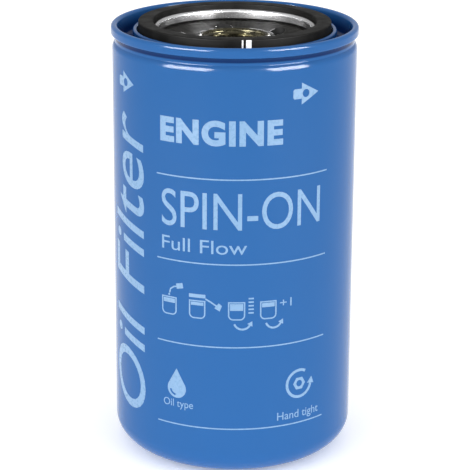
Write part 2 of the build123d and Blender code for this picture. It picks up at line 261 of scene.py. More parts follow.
# ---------------------------------------------------------------------------
# Materials.
# ---------------------------------------------------------------------------
class Material:
    """A Principled material with helpers for procedural detail in object coordinates."""

    def __init__(self, name, color, roughness, metallic=0.0, **constants):
        self.data = bpy.data.materials.new(name)
        self.data.use_nodes = True
        self.tree = self.data.node_tree
        self.shader = self.tree.nodes["Principled BSDF"]
        self.shader.inputs["Base Color"].default_value = (*color, 1)
        self.shader.inputs["Roughness"].default_value = roughness
        self.shader.inputs["Metallic"].default_value = metallic
        for socket, value in constants.items():
            self.shader.inputs[socket.replace("_", " ")].default_value = value
        self.place = self.tree.nodes.new("ShaderNodeTexCoord").outputs["Object"]

    def link(self, output, target):
        self.tree.links.new(output, target)

    def math(self, operation, *values):
        node = self.tree.nodes.new("ShaderNodeMath")
        node.operation = operation
        for socket, value in zip(node.inputs, values):
            if isinstance(value, (int, float)):
                socket.default_value = value
            else:
                self.link(value, socket)
        return node.outputs["Value"]

    def product(self, first, *others):
        for other in others:
            first = self.math("MULTIPLY", first, other)
        return first

    def stretched(self, x, y, z):
        """Object coordinates scaled along each axis."""
        node = self.tree.nodes.new("ShaderNodeMapping")
        node.inputs["Scale"].default_value = (x, y, z)
        self.link(self.place, node.inputs["Vector"])
        return node.outputs["Vector"]

    def parted(self):
        """Object coordinates one by one: x, y, z and the radius from the axis."""
        split = self.tree.nodes.new("ShaderNodeSeparateXYZ")
        self.link(self.place, split.inputs["Vector"])
        x, y, z = split.outputs
        radius = self.math("SQRT", self.math("ADD", self.math("POWER", x, 2), self.math("POWER", y, 2)))
        return x, y, z, radius

    def around(self, fineness, along_radius, along_height):
        """Coordinates that streak along the radius: direction from the axis, plus a little of the rest."""
        x, y, z, radius = self.parted()
        safe = self.math("MAXIMUM", radius, 1e-5)
        join = self.tree.nodes.new("ShaderNodeCombineXYZ")
        self.link(self.product(self.math("DIVIDE", x, safe), fineness), join.inputs["X"])
        self.link(self.product(self.math("DIVIDE", y, safe), fineness), join.inputs["Y"])
        drift = self.math("ADD", self.product(radius, along_radius), self.product(z, along_height))
        self.link(drift, join.inputs["Z"])
        return join.outputs["Vector"]

    def noise(self, scale, detail=3.0, vector=None, roughness=0.5):
        node = self.tree.nodes.new("ShaderNodeTexNoise")
        node.inputs["Scale"].default_value = scale
        node.inputs["Detail"].default_value = detail
        node.inputs["Roughness"].default_value = roughness
        self.link(vector or self.place, node.inputs["Vector"])
        return node.outputs["Fac"]

    def spread(self, fac, lowest, highest, start=0.3, end=0.7):
        """Maps a pattern's values from start to end onto those from lowest to highest."""
        node = self.tree.nodes.new("ShaderNodeMapRange")
        for name, value in (
            ("From Min", start),
            ("From Max", end),
            ("To Min", lowest),
            ("To Max", highest),
        ):
            node.inputs[name].default_value = value
        self.link(fac, node.inputs["Value"])
        return node.outputs["Result"]

    def colored(self, fac, first, second):
        """Base colour between two colours by a 0 to 1 pattern."""
        node = self.tree.nodes.new("ShaderNodeMix")
        node.data_type = "RGBA"
        colors = [s for s in node.inputs if s.type == "RGBA"]
        colors[0].default_value = (*first, 1)
        colors[1].default_value = (*second, 1)
        self.link(fac, node.inputs["Factor"])
        result = [s for s in node.outputs if s.type == "RGBA"][0]
        self.link(result, self.shader.inputs["Base Color"])
        return self

    def rising(self, length, start, end):
        """0 where a length is under start, 1 where it is over end, both in millimetres."""
        return self.spread(length, 0, 1, start * MM, end * MM)

    def falling(self, length, start, end):
        """1 where a length is under start, 0 where it is over end, both in millimetres."""
        return self.spread(length, 1, 0, start * MM, end * MM)

    def rough(self, fac, lowest, highest):
        self.link(self.spread(fac, lowest, highest), self.shader.inputs["Roughness"])
        return self

    def bumped(self, fac, depth_mm, strength=1.0):
        node = self.tree.nodes.new("ShaderNodeBump")
        node.inputs["Strength"].default_value = strength
        node.inputs["Distance"].default_value = depth_mm * MM
        self.link(fac, node.inputs["Height"])
        self.link(node.outputs["Normal"], self.shader.inputs["Normal"])
        return self


def tinted(color, factor):
    return tuple(min(1.0, c * factor) for c in color)


BLUE = (0.0245, 0.124, 0.358)
SHADED_BLUE = (0.001, 0.021, 0.108)
INK = (0.2, 0.37, 0.6)

# Painted shade: the can's paint turns darker in the groove under the seam and on the trough's walls, where
# shade falls. Each pair is where a fade starts and ends, as a radius or a height.
GROOVE_FOOT = 162.8
GROOVE_FADE_OUT = (45.6, 46.1)
GROOVE_FADE_DOWN = (GROOVE_FOOT - 0.6, GROOVE_FOOT)
GROOVE_FADE_UP = (GROOVE_FOOT, SEAM_TOP)
TROUGH_FADE_OUT = (SEAM_RADIUS - 2.2, SEAM_RADIUS - 2.0)
TROUGH_FADE_IN = (PLATE_RADIUS + 0.7, PLATE_RADIUS + 1.3)
TROUGH_FADE_DOWN = (GROOVE_FOOT - 6, GROOVE_FOOT - 5)
TROUGH_FADE_UP = (SEAM_TOP - 5.5, SEAM_TOP - 0.8)


def recess_shade(made):
    """Mask of the painted shade: 1 in the groove and in the trough, 0 elsewhere."""
    _, _, height, radius = made.parted()
    groove = made.product(
        made.falling(radius, *GROOVE_FADE_OUT),
        made.rising(height, *GROOVE_FADE_DOWN),
        made.falling(height, *GROOVE_FADE_UP),
    )
    trough = made.product(
        made.falling(radius, *TROUGH_FADE_OUT),
        made.rising(radius, *TROUGH_FADE_IN),
        made.falling(height, *TROUGH_FADE_UP),
        made.rising(height, *TROUGH_FADE_DOWN),
    )
    return made.math("MAXIMUM", groove, trough)


def can_paint():
    """Gloss enamel with very slight orange peel, and painted shade in the groove and the trough."""
    made = Material("can_paint", BLUE, 0.14, Specular_IOR_Level=0.11)
    # Painted shade: darker blue in the groove under the seam and in the trough.
    made.colored(recess_shade(made), BLUE, SHADED_BLUE)
    made.rough(made.noise(60, 3), 0.11, 0.17)
    return made.bumped(made.noise(420, 2), 0.004, 0.35).data


def print_ink():
    """Pale screen-printed ink, a little more matte than the paint under it."""
    made = Material("print_ink", INK, 0.3)
    made.colored(made.spread(made.noise(900, 2), 0, 1), tinted(INK, 0.985), tinted(INK, 1.015))
    made.rough(made.noise(700, 2), 0.24, 0.34)
    return made.bumped(made.noise(1600, 2), 0.006, 0.4).data


def zinc(name, tone, roughness):
    """Bright zinc plate on drawn sheet, with faint rings from the press tool."""
    made = Material(name, (tone, tone, tone * 1.01), roughness, 1.0)
    clouds = made.noise(160, 4, roughness=0.6)
    made.colored(made.spread(clouds, 0, 1), (tone * 0.85,) * 3, (tone * 1.08, tone * 1.08, tone * 1.1))
    made.rough(made.noise(90, 4), roughness * 0.85, roughness * 1.3)
    return made.bumped(made.noise(1.0, 3, made.around(3, 2600, 2600)), 0.005, 0.3).data


def plate_steel():
    """Phosphated steel plate, dark, with radial streaks in its colour: partly marks where it was pressed,
    partly a painted streaky reflection.
    """
    made = Material("plate_steel", (0.02, 0.0195, 0.018), 0.5, Specular_IOR_Level=0.02)
    # The streaks darken and lighten the colour: partly pressing marks, partly painted reflection.
    streaks = made.noise(1.0, 4, made.around(26, 60, 60), 0.65)
    made.colored(made.spread(streaks, 0, 1, 0.35, 0.68), (0.006, 0.0058, 0.0053), (0.022, 0.0215, 0.0195))
    made.rough(made.noise(350, 4), 0.42, 0.6)
    return made.bumped(made.noise(700, 5), 0.012, 0.4).data


def shaded_port_bore():
    """Drilled wall of a port, painted near-black as the shade inside the hole."""
    made = Material("shaded_port_bore", (0.006, 0.006, 0.006), 0.6, Specular_IOR_Level=0.1)
    made.rough(made.noise(500, 3), 0.5, 0.7)
    return made.bumped(made.noise(900, 3), 0.01, 0.4).data


def thread_steel():
    """Cut thread with a film of oil, which makes it look yellow-grey."""
    made = Material("thread_steel", (0.06, 0.054, 0.034), 0.3, 0.9)
    stains = made.noise(240, 4)
    made.colored(made.spread(stains, 0, 1), (0.018, 0.017, 0.014), (0.085, 0.077, 0.044))
    made.rough(made.noise(500, 3), 0.16, 0.34)
    return made.bumped(made.noise(900, 3), 0.01, 0.4).data


def bright_edge():
    """Freshly cut or bent steel."""
    made = Material("bright_edge", (0.86, 0.86, 0.86), 0.2, 1.0)
    made.rough(made.noise(600, 3), 0.14, 0.28)
    return made.bumped(made.noise(900, 3), 0.008, 0.4).data


def tin_plate():
    """Bright tinned strip, scratched white."""
    made = Material("tin_plate", (0.95, 0.95, 0.95), 0.4, 0.25)
    made.rough(made.noise(600, 3), 0.3, 0.5)
    return made.bumped(made.noise(900, 3), 0.008, 0.4).data


def rubber(name, color, dust, roughness):
    """Moulded rubber with fine grain and a little dust bloom on it."""
    made = Material(name, color, roughness, Specular_IOR_Level=0.04)
    bloom = made.spread(made.noise(130, 5, roughness=0.65), 0, 1, 0.4, 0.75)
    made.colored(bloom, color, tinted(color, dust))
    made.rough(made.noise(220, 4), roughness - 0.08, roughness + 0.1)
    return made.bumped(made.noise(1500, 4), 0.02, 0.6).data


def drawn_steel(name, color, roughness):
    """Drawn wire or rolled strip: fine streaks along and round the axis."""
    made = Material(name, color, roughness, 1.0)
    streaks = made.noise(1.0, 3, made.around(6, 900, 900))
    made.colored(made.spread(streaks, 0, 1), tinted(color, 0.75), tinted(color, 1.15))
    made.rough(made.noise(300, 3), roughness * 0.8, roughness * 1.3)
    return made.bumped(streaks, 0.01, 0.4).data


def filter_paper():
    """Resin-treated paper: fibres and small flecks."""
    made = Material("filter_paper", (0.72, 0.6, 0.38), 0.85)
    fibres = made.noise(900, 6, made.stretched(1, 1, 0.25), 0.7)
    made.colored(made.spread(fibres, 0, 1), (0.62, 0.5, 0.3), (0.8, 0.69, 0.46))
    return made.bumped(fibres, 0.05, 0.8).data


def adhesive():
    """Cast plastisol, a little uneven."""
    made = Material("adhesive", (0.32, 0.06, 0.04), 0.5)
    made.colored(made.spread(made.noise(200, 4), 0, 1), (0.26, 0.05, 0.035), (0.4, 0.08, 0.05))
    made.rough(made.noise(260, 3), 0.4, 0.6)
    return made.bumped(made.noise(300, 4), 0.08, 0.5).data


PAINT = can_paint()
PRINT = print_ink()
LIP_ZINC = zinc("lip_zinc", 0.46, 0.2)
CAP_ZINC = zinc("cap_zinc", 0.6, 0.3)
PLATE = plate_steel()
SHADED_BORE = shaded_port_bore()
THREAD = thread_steel()
EDGE = bright_edge()
TIN = tin_plate()
GASKET_RUBBER = rubber("gasket_rubber", (0.0058, 0.0055, 0.005), 1.9, 0.5)
VALVE_RUBBER = rubber("valve_rubber", (0.02, 0.02, 0.02), 1.5, 0.45)
COMPOUND = rubber("sealing_compound", (0.45, 0.4, 0.3), 1.2, 0.7)
TUBE_STEEL = drawn_steel("tube_steel", (0.55, 0.55, 0.56), 0.3)
WIRE_STEEL = drawn_steel("wire_steel", (0.3, 0.3, 0.32), 0.28)
VALVE_STEEL = drawn_steel("valve_steel", (0.6, 0.55, 0.42), 0.32)
PAPER = filter_paper()
ADHESIVE = adhesive()

# ---------------------------------------------------------------------------
# Can, lid and gasket.
# ---------------------------------------------------------------------------
COVER_WALL, BODY_HOOK, COVER_HOOK, CAN_NECK, CHUCK_WALL = (
    SEAM_RADIUS - HALF - i * LAYER for i in range(5)
)
SEAM_FOOT = SEAM_TOP - SEAM_HEIGHT
COVER_TOP = SEAM_TOP - HALF
CAN_TOP = COVER_TOP - LAYER


def make_can():
    """The drawn can: pressed panel, broad corner, wall, neck and the seam's inner hook."""
    corner_run, corner_rise, corner_steps = 15.6, 11.7, 24
    panel_radius, panel_rise, panel_slope = 20.0, 1.6, 2.2
    neck_foot, shoulder = SEAM_FOOT - 2.95, SEAM_FOOT - 4.01
    panel_bend, shoulder_bend, neck_bend, hook_bend = 2.0, 2.9, 0.7, 0.5
    corner_start = BODY_RADIUS - corner_run
    panel = rounded(
        [
            (0, HALF + panel_rise),
            (panel_radius - panel_slope, HALF + panel_rise),
            (panel_radius, HALF),
            (corner_start, HALF),
        ],
        [panel_bend, panel_bend],
    )
    corner = [
        (
            corner_start + (corner_run - HALF) * sin(angle),
            corner_rise - (corner_rise - HALF) * cos(angle),
        )
        for angle in (pi / 2 * i / corner_steps for i in range(1, corner_steps))
    ]
    side = rounded(
        [
            (BODY_RADIUS - HALF, corner_rise),
            (BODY_RADIUS - HALF, shoulder),
            (CAN_NECK, neck_foot),
            (CAN_NECK, CAN_TOP),
            (BODY_HOOK, CAN_TOP),
            (BODY_HOOK, SEAM_FOOT + LAYER + HALF),
        ],
        [shoulder_bend, neck_bend, hook_bend, hook_bend],
    )
    outline = thickened(panel + corner + side, SHEET)
    can = add_mesh("can_shell", lathed(outline), PAINT, CAN)
    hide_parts("housing_can")


def make_lid():
    """The lid is painted where the can's paint reaches it, and bright inside the gasket."""
    trough = 159.3
    holder_top, holder_radius = 165.95, 38.3
    lip_radius, lip_top, lip_foot = 28.9, 167.0, 164.0
    outer_gap, inner_gap = 0.4, 0.05
    hook_gap = 1.0
    hook_bend, seam_bend, wall_bend, trough_bend = 0.5, 1.0, 2.6, 2.2
    holder_bend, channel_bend, lip_bend = 0.6, 0.3, 0.85
    floor_height = GASKET_FOOT - HALF
    channel_outer = GASKET_RADIUS + outer_gap + HALF
    channel_inner = GASKET_INNER_RADIUS - HALF - inner_gap
    join_radius = (channel_outer + channel_inner) / 2
    painted = rounded(
        [
            (COVER_HOOK, CAN_TOP - hook_gap),
            (COVER_HOOK, SEAM_FOOT + HALF),
            (COVER_WALL, SEAM_FOOT + HALF),
            (COVER_WALL, COVER_TOP),
            (CHUCK_WALL, COVER_TOP),
            (CHUCK_WALL, trough),
            (holder_radius, trough),
            (holder_radius, holder_top),
            (channel_outer, holder_top),
            (channel_outer, floor_height),
            (join_radius, floor_height),
        ],
        [
            hook_bend,
            hook_bend,
            seam_bend,
            seam_bend,
            wall_bend,
            trough_bend,
            holder_bend,
            holder_bend,
            channel_bend,
        ],
    )
    bright = rounded(
        [
            (join_radius, floor_height),
            (channel_inner, floor_height),
            (channel_inner, lip_top),
            (lip_radius, lip_top),
            (lip_radius, lip_foot),
        ],
        [channel_bend, lip_bend, lip_bend],
    )
    rim = add_mesh("lid_painted", lathed(thickened(painted, SHEET)), PAINT, CAN)
    lip = add_mesh("lid_lip", lathed(thickened(bright, SHEET)), LIP_ZINC, CAN)
    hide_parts("seaming_lid")
    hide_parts("seaming_lid")


def make_gasket():
    """A square-cut ring with its corners just broken."""
    edge, foot_edge = 0.45, 0.2
    outline = rounded(
        [
            (GASKET_INNER_RADIUS, GASKET_FOOT),
            (GASKET_RADIUS, GASKET_FOOT),
            (GASKET_RADIUS, GASKET_TOP),
            (GASKET_INNER_RADIUS, GASKET_TOP),
        ],
        [foot_edge, foot_edge, edge, edge],
        closed=True,
    )
    gasket = add_mesh("gasket_ring", lathed(outline), GASKET_RUBBER, CAN)
    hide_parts("mounting_gasket")


def make_tabs():
    """Three slotted tabs, curved to the gasket. The two at the rear stand lower than the front one."""
    count, first_angle = 3, -83.25
    gap, thickness, edge = 0.09, 0.25, 0.06
    half_width, slot_left, slot_right = 1.75, -1.2, -0.2
    foot = GASKET_FOOT + 0.1
    base_top = foot + 1.6
    front_top, rear_top = GASKET_TOP - 0.1, GASKET_TOP - 0.7
    inner = GASKET_RADIUS + gap
    outer = inner + thickness
    bm = bmesh.new()
    for i in range(count):
        middle = radians(first_angle + 360 / count * i) * inner
        top = front_top if i == 0 else rear_top
        for left, right, bottom, end in (
            (-half_width, half_width, foot, base_top),
            (-half_width, slot_left, base_top, top),
            (slot_right, half_width, base_top, top),
        ):
            for vert in bmesh.ops.create_cube(bm, size=1)["verts"]:
                along = middle + (left if vert.co.x < 0 else right)
                out = inner if vert.co.y < 0 else outer
                height = bottom if vert.co.z < 0 else end
                angle = along / inner
                vert.co = (out * cos(angle), out * sin(angle), height)
    bmesh.ops.bevel(bm, geom=bm.edges[:], offset=edge, segments=2, affect="EDGES")
    tabs = add_mesh("gasket_tab_prongs", bm, TIN, CAN)
    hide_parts("gasket_tabs")


# ---------------------------------------------------------------------------
# Thread plate: turned outline with a helical thread in its bore, then the ports are cut.
# ---------------------------------------------------------------------------
THREAD_DEPTH = 0.86
THREAD_FADE = 0.9  # length over which the thread rises to its depth at each end
THREAD_FOOT_GAP = 0.5
THREAD_TOP_GAP = 0.7
FLANK_SLOPE = 1.25  # a steeper flank leaves a wider crest
ROOT_SHARE = 0.12  # a larger share leaves a wider root
BORE_STEP = 0.11
PLATE_ROUND = 240
DRILL_ROUND = 48


def thread_radius(angle, radius, height):
    """Radius of the bore where the thread runs, and unchanged elsewhere."""
    if abs(radius - THREAD_RADIUS) > TINY:
        return radius
    turns = (height - HUB_FOOT) / THREAD_PITCH - angle / (2 * pi)
    phase = turns - floor(turns)
    rise = min(1.0, max(0.0, FLANK_SLOPE * (1 - abs(2 * phase - 1)) - ROOT_SHARE))
    inside = min(height - HUB_FOOT - THREAD_FOOT_GAP, HUB_TOP - THREAD_TOP_GAP - height)
    fade = min(1.0, max(0.0, inside / THREAD_FADE))
    return radius - THREAD_DEPTH * rise * fade


def make_plate():
    """The dished plate: its turned shape, its thread in another material, and the ports cut through."""
    plate_top = GASKET_FOOT - SHEET
    plate_foot = plate_top - PLATE_THICKNESS
    dish_outer, dish_inner, dish_depth = 26.6, 16.6, 2.7
    dish_top = plate_top - dish_depth
    shank_top = dish_top - PLATE_THICKNESS - 0.3
    chamfer = 0.55
    shank_bend, edge_bend, under_bend = 0.3, 0.4, 3.0
    dish_bend, root_bend, crown_bend = 5.0, 1.2, 0.8
    solid = rounded(
        [
            (THREAD_RADIUS + chamfer, HUB_FOOT),
            (HUB_RADIUS, HUB_FOOT),
            (HUB_RADIUS, shank_top),
            (dish_outer - 1.0, plate_foot),
            (PLATE_RADIUS, plate_foot),
            (PLATE_RADIUS, plate_top),
            (dish_outer, plate_top),
            (dish_inner, dish_top),
            (HUB_RADIUS, HUB_TOP),
            (THREAD_RADIUS + chamfer, HUB_TOP),
        ],
        [shank_bend, edge_bend, under_bend, edge_bend, edge_bend, dish_bend, root_bend, crown_bend],
    )
    rows = ceil((HUB_TOP - HUB_FOOT - 2 * chamfer) / BORE_STEP)
    bore = [
        (THREAD_RADIUS, HUB_TOP - chamfer - (HUB_TOP - HUB_FOOT - 2 * chamfer) * i / rows)
        for i in range(rows + 1)
    ]
    bm = lathed(solid + bore, PLATE_ROUND, thread_radius)
    plate = add_mesh("thread_plate_pressed", bm, PLATE, CAN)
    plate.data.materials.append(THREAD)
    plate.data.materials.append(EDGE)
    reach = (THREAD_RADIUS + chamfer / 2) * MM
    for face in plate.data.polygons:
        middle = face.center
        if hypot(middle.x, middle.y) < reach:
            face.material_index = 1
    cutter = port_cutter(plate_top, dish_top, dish_outer, dish_inner)
    cut = plate.modifiers.new("ports", "BOOLEAN")
    cut.operation = "DIFFERENCE"
    cut.solver = "EXACT"
    cut.use_self = True
    cut.object = cutter
    cut.material_mode = "TRANSFER"
    apply_modifiers(plate)
    bpy.data.objects.remove(cutter)
    plate.data.shade_smooth()
    plate.data.set_sharp_from_angle(angle=SMOOTH_ANGLE)
    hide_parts("thread_plate")


def port_cutter(plate_top, dish_top, dish_outer, dish_inner):
    """Six drills, which leave walls painted dark as the shade in the holes, each with a bright countersink
    square to the dished surface.
    """
    slope = (plate_top - dish_top) / (dish_outer - dish_inner)
    surface = dish_top + (PORT_CIRCLE_RADIUS - dish_inner) * slope
    sink, overshoot = 0.5, 2
    below, above = 9, 4
    cone_top = overshoot + sink
    drill = [(0, -below), (PORT_RADIUS, -below), (PORT_RADIUS, above), (0, above)]
    cone = [(0, -PORT_RADIUS), (PORT_RADIUS + sink + overshoot, cone_top), (0, cone_top)]
    bm = bmesh.new()
    for i in range(PORT_COUNT):
        turn = Matrix.Rotation(radians(PORT_START_ANGLE + 360 / PORT_COUNT * i), 4, "Z")
        place = Matrix.Translation((PORT_CIRCLE_RADIUS, 0, surface))
        lean = Matrix.Rotation(-atan2(slope, 1), 4, "Y")
        for outline, tilt in ((drill, Matrix.Identity(4)), (cone, lean)):
            part = lathed(outline, DRILL_ROUND)
            for face in part.faces:
                face.material_index = 1 if outline is cone else 0
            part.transform(turn @ place @ tilt)
            joined = bpy.data.meshes.new("drill")
            part.to_mesh(joined)
            part.free()
            bm.from_mesh(joined)
            bpy.data.meshes.remove(joined)
    bmesh.ops.scale(bm, vec=(MM, MM, MM), verts=bm.verts)
    bmesh.ops.recalc_face_normals(bm, faces=bm.faces)
    mesh = bpy.data.meshes.new("port_cutter")
    bm.to_mesh(mesh)
    bm.free()
    # The drill walls carry the painted shade of the holes.
    mesh.materials.append(SHADED_BORE)
    mesh.materials.append(EDGE)
    cutter = bpy.data.objects.new("port_cutter", mesh)
    bpy.context.scene.collection.objects.link(cutter)
    return cutter


def apply_modifiers(piece):
    """Replaces a piece's mesh by what its modifiers make of it."""
    graph = bpy.context.evaluated_depsgraph_get()
    graph.update()
    made = bpy.data.meshes.new_from_object(piece.evaluated_get(graph), depsgraph=graph)
    piece.modifiers.clear()
    piece.data = made


# ---------------------------------------------------------------------------
# Rubber diaphragm and springs, each between the two bodies that it joins.
# ---------------------------------------------------------------------------
def make_diaphragm():
    """Collar and lip in one skin, which thins towards the lip's rim."""
    root_foot, root_top = low("antidrainback_collar"), high("antidrainback_collar")
    lip_top = high("antidrainback_flap")
    lip_radius = radius_of("antidrainback_flap")
    bore_radius = HUB_RADIUS + 0.03
    root_radius, skirt_radius, neck_radius, skirt_rise = 18.0, 19.2, 17.6, 1.25
    lip_width, rim_width, rim_thickness = 3.1, 0.6, 1.1
    under_drop, over_drop, middle_drop = 1.95, 0.75, 1.2
    outline = rounded(
        [
            (bore_radius, root_foot),
            (root_radius, root_foot),
            (skirt_radius, root_foot + skirt_rise),
            (lip_radius - lip_width, lip_top - under_drop),
            (lip_radius, lip_top - rim_thickness),
            (lip_radius, lip_top),
            (lip_radius - rim_width, lip_top),
            (lip_radius - lip_width, lip_top - over_drop),
            (neck_radius, root_top),
            (bore_radius, root_top),
        ],
        [0.3, 0.5, 0.8, 1.2, 0.3, 0.25, 0.2, 0.8, 0.6, 0.2],
        closed=True,
    )
    skin = add_mesh("diaphragm", lathed(outline, DIAPHRAGM_ROUND), VALVE_RUBBER, None)
    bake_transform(skin)
    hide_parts("antidrainback_collar", "antidrainback_flap")


COIL_STEPS = 56  # points in one turn
CLOSED_RISE = 0.55  # rise of a closed turn, in wire diameters


def coil_path(foot, top, wire, foot_radius, top_radius, active_turns):
    """A compression spring's centreline: one closed turn at each end, and open turns between."""
    start, end = foot + wire / 2, top - wire / 2
    closed_rise = CLOSED_RISE * wire
    turns = active_turns + 2
    steps = ceil(turns * COIL_STEPS)
    points = []
    for i in range(steps + 1):
        turn = turns * i / steps
        if turn < 1:
            height = start + closed_rise * turn**2
        elif turn > turns - 1:
            height = end - closed_rise * (turns - turn) ** 2
        else:
            share = (turn - 1) / active_turns
            height = start + closed_rise + (end - start - 2 * closed_rise) * share
        radius = foot_radius + (top_radius - foot_radius) * (height - start) / (end - start)
        angle = 2 * pi * turn
        points.append(Vector((radius * cos(angle), radius * sin(angle), height)))
    return points


def make_spring(name, node, wire, foot_radius, top_radius, active_turns):
    """A coil that fills its node's height, between two bodies."""
    foot, top = low(node), high(node)
    path = coil_path(foot, top, wire, foot_radius, top_radius, active_turns)
    spring = add_mesh(name, tube(path, wire), WIRE_STEEL, None)
    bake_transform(spring)
    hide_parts(node)


def make_load_coil():
    """A conical coil, wide on the can's closed end and narrow under the element."""
    wire, foot_radius, top_radius, active_turns = 2.4, 24.6, 18.6, 2.4
    make_spring("load_coil", "load_spring", wire, foot_radius, top_radius, active_turns)


def make_bypass_coil():
    """A straight coil between the bypass poppet and its cage."""
    wire, radius, active_turns = 1.1, 7.4, 4.5
    make_spring("bypass_coil", "bypass_spring", wire, radius, radius, active_turns)


# ---------------------------------------------------------------------------
# Print: flat shapes in (arc length, height), cut into narrow strips and wrapped on the can.
# ---------------------------------------------------------------------------
INK_RADIUS = BODY_RADIUS + 0.03
INK_THICKNESS = 0.06
STRIP = 1.1  # widest strip along the arc, so that the print stays round
LETTER_SPREAD = 2.5  # wider spacing for each unit of added weight
LETTER_RESOLUTION = 6


def across(azimuth):
    """Arc length of an azimuth in degrees."""
    return radians(azimuth) * BODY_RADIUS


def fill(bm, *loops, at=(0, 0)):
    """Fills the space between closed loops of points."""
    edges = []
    for loop in loops:
        verts = [bm.verts.new((x + at[0], y + at[1], 0)) for x, y in loop]
        edges += [bm.edges.new((a, b)) for a, b in zip(verts, verts[1:] + verts[:1])]
    bmesh.ops.triangle_fill(bm, use_beauty=True, use_dissolve=False, edges=edges)


def rectangle(left, bottom, right, top):
    return [(left, bottom), (right, bottom), (right, top), (left, top)]


def stroke(bm, points, width, at=(0, 0)):
    """An open line of even width."""
    fill(bm, thickened(points, width), at=at)


def words(bm, text, box, weight=0.0, shear=0.0, turn=0.0):
    """Text stretched to fill a box (left, bottom, right, top) once it is turned, in degrees."""
    curve = bpy.data.curves.new("words", "FONT")
    curve.body = text
    curve.offset = weight
    curve.space_character = 1 + LETTER_SPREAD * weight
    curve.shear = shear
    curve.resolution_u = LETTER_RESOLUTION
    holder = bpy.data.objects.new("words", curve)
    bpy.context.scene.collection.objects.link(holder)
    graph = bpy.context.evaluated_depsgraph_get()
    graph.update()
    mesh = bpy.data.meshes.new_from_object(holder.evaluated_get(graph), depsgraph=graph)
    mesh.transform(Matrix.Rotation(radians(turn), 4, "Z"))
    spans = [[vert.co[axis] for vert in mesh.vertices] for axis in (0, 1)]
    left, bottom, right, top = box
    wide = (right - left) / (max(spans[0]) - min(spans[0]))
    tall = (top - bottom) / (max(spans[1]) - min(spans[1]))
    shift = Matrix.Translation((left - min(spans[0]) * wide, bottom - min(spans[1]) * tall, 0))
    mesh.transform(shift @ Matrix.Diagonal((wide, tall, 1, 1)))
    bm.from_mesh(mesh)
    bpy.data.objects.remove(holder)
    bpy.data.curves.remove(curve)
    bpy.data.meshes.remove(mesh)


def wrapped(name, bm, shift=0.0):
    """Cuts flat print into strips, bends it round the can and gives it a thickness."""
    bmesh.ops.remove_doubles(bm, verts=bm.verts, dist=1e-4)
    spans = [vert.co.x for vert in bm.verts]
    for k in range(ceil(min(spans) / STRIP), ceil(max(spans) / STRIP)):
        geometry = bm.verts[:] + bm.edges[:] + bm.faces[:]
        bmesh.ops.bisect_plane(bm, geom=geometry, plane_co=(k * STRIP, 0, 0), plane_no=(1, 0, 0))
    for vert in bm.verts:
        angle = vert.co.x / BODY_RADIUS + radians(shift)
        vert.co = (INK_RADIUS * sin(angle), -INK_RADIUS * cos(angle), vert.co.y)
    bmesh.ops.recalc_face_normals(bm, faces=bm.faces)
    for face in bm.faces:
        face.smooth = False
        outward = Vector((*face.calc_center_median().xy, 0))
        if face.normal.dot(outward) < 0:
            face.normal_flip()
    skin = bm.faces[:]
    made = bmesh.ops.extrude_face_region(bm, geom=skin)
    for vert in (v for v in made["geom"] if isinstance(v, bmesh.types.BMVert)):
        vert.co.xy *= (INK_RADIUS - INK_THICKNESS) / INK_RADIUS
    return add_mesh(name, bm, PRINT, CAN, smooth=False)


LINE_HEIGHTS = (119.49, 87.05, 54.57, 21.67)
HALF_LINE = 0.24
PANEL_LEFT = across(-37.7)
PANEL_RIGHT = across(47.6)
ARROW_HEIGHT = 150.2
ARROW_AZIMUTHS = (34.0, 120.0, 214.0, 300.0)


def draw_lines(bm):
    for height in LINE_HEIGHTS:
        fill(bm, rectangle(PANEL_LEFT, height - HALF_LINE, PANEL_RIGHT, height + HALF_LINE))


def draw_words(bm):
    words(bm, "ENGINE", (across(-35.5), 132.0, across(22.5), 141.6), weight=0.05)
    words(bm, "SPIN-ON", (across(-34.9), 100.2, across(43.4), 114.4))
    words(bm, "Full Flow", (across(-34.8), 91.0, across(6.2), 96.2))
    words(bm, "Oil Filter", (across(-73.4), 22.0, across(-46.0), 139.0), shear=0.22, turn=90)


def canister(bm, at, level):
    """A cut-away can, full to the level."""
    half, height, corner, line = 3.2, 7.2, 1.9, 0.5

    def cup(inset):
        side = half - inset
        bend = corner - inset
        left = arc((-side + bend, inset + bend), bend, pi, 1.5 * pi, 6)
        right = arc((side - bend, inset + bend), bend, 1.5 * pi, 2 * pi, 6)
        return [(-side, height - inset), *left, *right, (side, height - inset)]

    fill(bm, cup(0), cup(line), at=at)
    inside = half - line - 0.25
    fill(bm, rectangle(-inside, height - level, inside, height - line - 0.25), at=at)


def turning_arrow(bm, at, size, start, end, width):
    """Part of a ring with a head at its end; angles in degrees, anticlockwise."""
    a, b = radians(start), radians(end)
    stroke(bm, arc((0, 0), size, a, b, 20), width, at=at)
    tip = Vector((size * cos(b), size * sin(b)))
    along = Vector((-sin(b), cos(b)))
    out = Vector((cos(b), sin(b)))
    head = [tip + out * width * 1.5, tip + along * width * 2.4, tip - out * width * 1.5]
    fill(bm, [tuple(p) for p in head], at=at)


